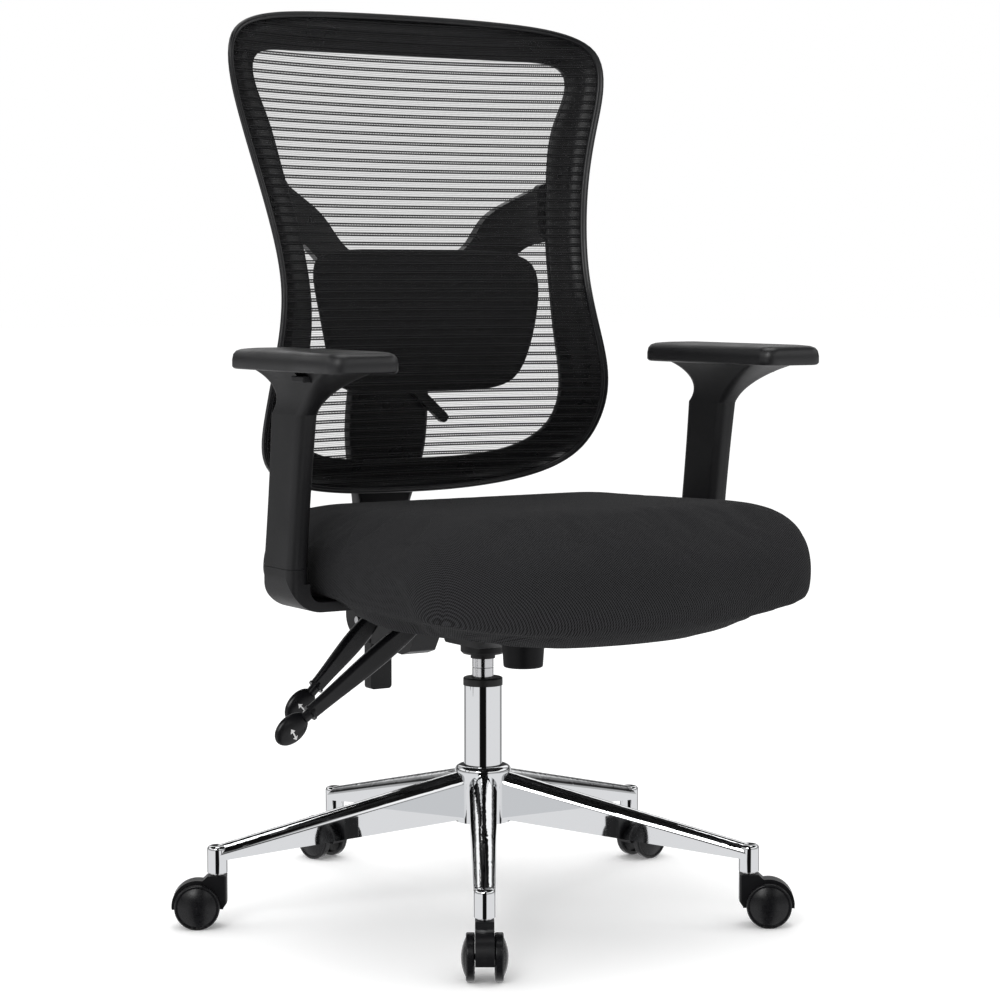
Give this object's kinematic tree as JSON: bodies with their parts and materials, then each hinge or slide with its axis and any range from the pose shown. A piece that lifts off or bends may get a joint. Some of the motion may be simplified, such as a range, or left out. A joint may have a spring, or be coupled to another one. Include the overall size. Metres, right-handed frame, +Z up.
{
  "type": "swivel office chair",
  "caption": "Swivel office chair with a curved mesh back, lumbar pad, padded seat, height-adjustable arms, gas lift and a chromed star base on casters.",
  "frame": {"origin": "on the floor under the axis of the gas column", "axes": "+Z up; the chair faces -Y; +X is the sitter's left"},
  "size_m": [0.7823, 0.7912, 1.1667],
  "materials": {
    "chrome_base": "polished chrome plate",
    "steel_pins": "bright zinc",
    "spring_steel": "oiled spring steel",
    "black_screws": "black oxide",
    "caster_nylon": "satin black nylon",
    "caster_tread": "semi-gloss black",
    "black_bushing": "matte black",
    "black_steel": "black powder coat",
    "knob_plastic": "matte black moulding",
    "lever_plastic": "gloss black moulding",
    "seat_ply": "bare plywood",
    "seat_fabric": "black woven cloth over foam",
    "arm_plastic": "fine grained black moulding",
    "arm_pad_skin": "soft moulded skin",
    "frame_plastic": "satin black moulding",
    "back_net": "black knitted mesh",
    "lumbar_cloth": "black spacer mesh over foam"
  },
  "bodies": {
    "base": {"base_star": "chrome_base", "caster_stems": "steel_pins", "outer_tube": "chrome_base", "guide_bushing": "black_bushing", "thrust_bearing": "steel_pins"},
    "caster_1": {"caster_1_hood": "caster_nylon", "caster_1_axle": "steel_pins"},
    "caster_1_wheel_left": {"caster_1_wheel_left": "caster_tread"},
    "caster_1_wheel_right": {"caster_1_wheel_right": "caster_tread"},
    "caster_2": {"caster_2_hood": "caster_nylon", "caster_2_axle": "steel_pins"},
    "caster_2_wheel_left": {"caster_2_wheel_left": "caster_tread"},
    "caster_2_wheel_right": {"caster_2_wheel_right": "caster_tread"},
    "caster_3": {"caster_3_hood": "caster_nylon", "caster_3_axle": "steel_pins"},
    "caster_3_wheel_left": {"caster_3_wheel_left": "caster_tread"},
    "caster_3_wheel_right": {"caster_3_wheel_right": "caster_tread"},
    "caster_4": {"caster_4_hood": "caster_nylon", "caster_4_axle": "steel_pins"},
    "caster_4_wheel_left": {"caster_4_wheel_left": "caster_tread"},
    "caster_4_wheel_right": {"caster_4_wheel_right": "caster_tread"},
    "caster_5": {"caster_5_hood": "caster_nylon", "caster_5_axle": "steel_pins"},
    "caster_5_wheel_left": {"caster_5_wheel_left": "caster_tread"},
    "caster_5_wheel_right": {"caster_5_wheel_right": "caster_tread"},
    "rod": {"piston_rod": "steel_pins", "rod_clip": "steel_pins"},
    "mechanism": {"gas_cylinder": "chrome_base", "mechanism_housing": "black_steel", "tilt_axle": "steel_pins", "tilt_spring": "spring_steel"},
    "release": {"release_pin": "steel_pins"},
    "tension": {"tension_knob": "knob_plastic", "tension_bolt": "steel_pins"},
    "height_lever": {"height_lever": "lever_plastic"},
    "seat": {"seat_plate": "black_steel", "recline_pin": "steel_pins", "seat_bolts": "black_screws", "seat_board": "seat_ply", "seat_cushion": "seat_fabric", "left_arm_bracket": "arm_plastic", "right_arm_bracket": "arm_plastic", "arm_bolts": "black_screws"},
    "back_lever": {"back_lever": "lever_plastic"},
    "left_arm": {"left_arm_sleeve": "arm_plastic", "left_arm_pad": "arm_pad_skin"},
    "left_button": {"left_arm_button": "arm_plastic"},
    "right_arm": {"right_arm_sleeve": "arm_plastic", "right_arm_pad": "arm_pad_skin"},
    "right_button": {"right_arm_button": "arm_plastic"},
    "back_support": {"back_bracket": "black_steel"},
    "back": {"back_bar": "black_steel", "back_frame": "frame_plastic", "back_mesh": "back_net", "back_yoke": "frame_plastic", "back_screws": "black_screws"},
    "lumbar": {"lumbar_pad": "lumbar_cloth", "lumbar_plate": "frame_plastic"},
    "lumbar_lever": {"lumbar_lever": "frame_plastic"}
  },
  "joints": [
    {"name": "caster_1_swivel", "type": "hinge", "parent": "base", "child": "caster_1", "pos_m": [-0.18129, -0.30172, 0.06], "axis": [0, 0, 1], "continuous": true},
    {"name": "caster_1_left_roll", "type": "hinge", "parent": "caster_1", "child": "caster_1_wheel_left", "pos_m": [-0.19417, -0.32315, 0.0285], "axis": [0.8572, -0.515, 0], "continuous": true},
    {"name": "caster_1_right_roll", "type": "hinge", "parent": "caster_1", "child": "caster_1_wheel_right", "pos_m": [-0.19417, -0.32315, 0.0285], "axis": [0.8572, -0.515, 0], "continuous": true},
    {"name": "caster_2_swivel", "type": "hinge", "parent": "base", "child": "caster_2", "pos_m": [0.23093, -0.26566, 0.06], "axis": [0, 0, 1], "continuous": true},
    {"name": "caster_2_left_roll", "type": "hinge", "parent": "caster_2", "child": "caster_2_wheel_left", "pos_m": [0.25166, -0.27964, 0.0285], "axis": [0.5592, 0.829, 0], "continuous": true},
    {"name": "caster_2_right_roll", "type": "hinge", "parent": "caster_2", "child": "caster_2_wheel_right", "pos_m": [0.25166, -0.27964, 0.0285], "axis": [0.5592, 0.829, 0], "continuous": true},
    {"name": "caster_3_swivel", "type": "hinge", "parent": "base", "child": "caster_3", "pos_m": [0.32402, 0.13754, 0.06], "axis": [0, 0, 1], "continuous": true},
    {"name": "caster_3_left_roll", "type": "hinge", "parent": "caster_3", "child": "caster_3_wheel_left", "pos_m": [0.34864, 0.14188, 0.0285], "axis": [-0.1736, 0.9848, 0], "continuous": true},
    {"name": "caster_3_right_roll", "type": "hinge", "parent": "caster_3", "child": "caster_3_wheel_right", "pos_m": [0.34864, 0.14188, 0.0285], "axis": [-0.1736, 0.9848, 0], "continuous": true},
    {"name": "caster_4_swivel", "type": "hinge", "parent": "base", "child": "caster_4", "pos_m": [-0.03068, 0.35066, 0.06], "axis": [0, 0, 1], "continuous": true},
    {"name": "caster_4_left_roll", "type": "hinge", "parent": "caster_4", "child": "caster_4_wheel_left", "pos_m": [-0.03799, 0.37457, 0.0285], "axis": [-0.9563, -0.2924, 0], "continuous": true},
    {"name": "caster_4_right_roll", "type": "hinge", "parent": "caster_4", "child": "caster_4_wheel_right", "pos_m": [-0.03799, 0.37457, 0.0285], "axis": [-0.9563, -0.2924, 0], "continuous": true},
    {"name": "caster_5_swivel", "type": "hinge", "parent": "base", "child": "caster_5", "pos_m": [-0.34298, 0.07918, 0.06], "axis": [0, 0, 1], "continuous": true},
    {"name": "caster_5_left_roll", "type": "hinge", "parent": "caster_5", "child": "caster_5_wheel_left", "pos_m": [-0.36484, 0.0913, 0.0285], "axis": [-0.4848, -0.8746, 0], "continuous": true},
    {"name": "caster_5_right_roll", "type": "hinge", "parent": "caster_5", "child": "caster_5_wheel_right", "pos_m": [-0.36484, 0.0913, 0.0285], "axis": [-0.4848, -0.8746, 0], "continuous": true},
    {"name": "seat_swivel", "type": "hinge", "parent": "base", "child": "rod", "pos_m": [0, 0, 0.2], "axis": [0, 0, 1], "continuous": true},
    {"name": "gas_lift", "type": "slide", "parent": "rod", "child": "mechanism", "axis": [0, 0, 1], "range_m": [-0.022, 0.078]},
    {"name": "release_press", "type": "slide", "parent": "mechanism", "child": "release", "axis": [0, 0, 1], "range_m": [-0.0045, 0]},
    {"name": "height_lever_lift", "type": "hinge", "parent": "mechanism", "child": "height_lever", "pos_m": [-0.046, 0, 0.379], "axis": [0, 1, 0], "range_deg": [0, 4.9], "stiffness_Nm_per_rad": 3, "springref_deg": -6.88},
    {"name": "tension_turn", "type": "hinge", "parent": "mechanism", "child": "tension", "pos_m": [0, -0.098, 0.34], "axis": [0, 0, 1], "continuous": true},
    {"name": "seat_tilt", "type": "hinge", "parent": "mechanism", "child": "seat", "pos_m": [0, -0.06, 0.384], "axis": [-1, 0, 0], "range_deg": [0, 10], "stiffness_Nm_per_rad": 260, "springref_deg": -8.59},
    {"name": "back_lever_lift", "type": "hinge", "parent": "seat", "child": "back_lever", "pos_m": [-0.112, 0.074, 0.38], "axis": [0, 1, 0], "range_deg": [0, 8], "stiffness_Nm_per_rad": 2, "springref_deg": -6.88},
    {"name": "left_arm_height", "type": "slide", "parent": "seat", "child": "left_arm", "axis": [0, -0.1338, 0.991], "range_m": [0, 0.07]},
    {"name": "left_button_press", "type": "slide", "parent": "left_arm", "child": "left_button", "axis": [0, 0, 1], "range_m": [0, 0.003], "stiffness_N_per_m": 400, "springref_m": -0.001},
    {"name": "right_arm_height", "type": "slide", "parent": "seat", "child": "right_arm", "axis": [0, -0.1338, 0.991], "range_m": [0, 0.07]},
    {"name": "right_button_press", "type": "slide", "parent": "right_arm", "child": "right_button", "axis": [0, 0, 1], "range_m": [0, 0.003], "stiffness_N_per_m": 400, "springref_m": -0.001},
    {"name": "back_recline", "type": "hinge", "parent": "seat", "child": "back_support", "pos_m": [0, 0.145, 0.366], "axis": [-1, 0, 0], "range_deg": [0, 18]},
    {"name": "back_height", "type": "slide", "parent": "back_support", "child": "back", "axis": [0, 0, 1], "range_m": [0, 0.06]},
    {"name": "lumbar_depth", "type": "slide", "parent": "back", "child": "lumbar", "axis": [0, 1, 0], "range_m": [0, 0.009]},
    {"name": "lumbar_lever_turn", "type": "hinge", "parent": "back", "child": "lumbar_lever", "pos_m": [0.033, 0.236, 0.664], "axis": [0, -1, 0], "range_deg": [0, 45.1]}
  ],
  "couplings": [
    {"joint": "release_press", "follows": "height_lever_lift", "m_per_rad": -0.05},
    {"joint": "lumbar_lever_turn", "follows": "lumbar_depth", "rad_per_m": 87.27}
  ]
}
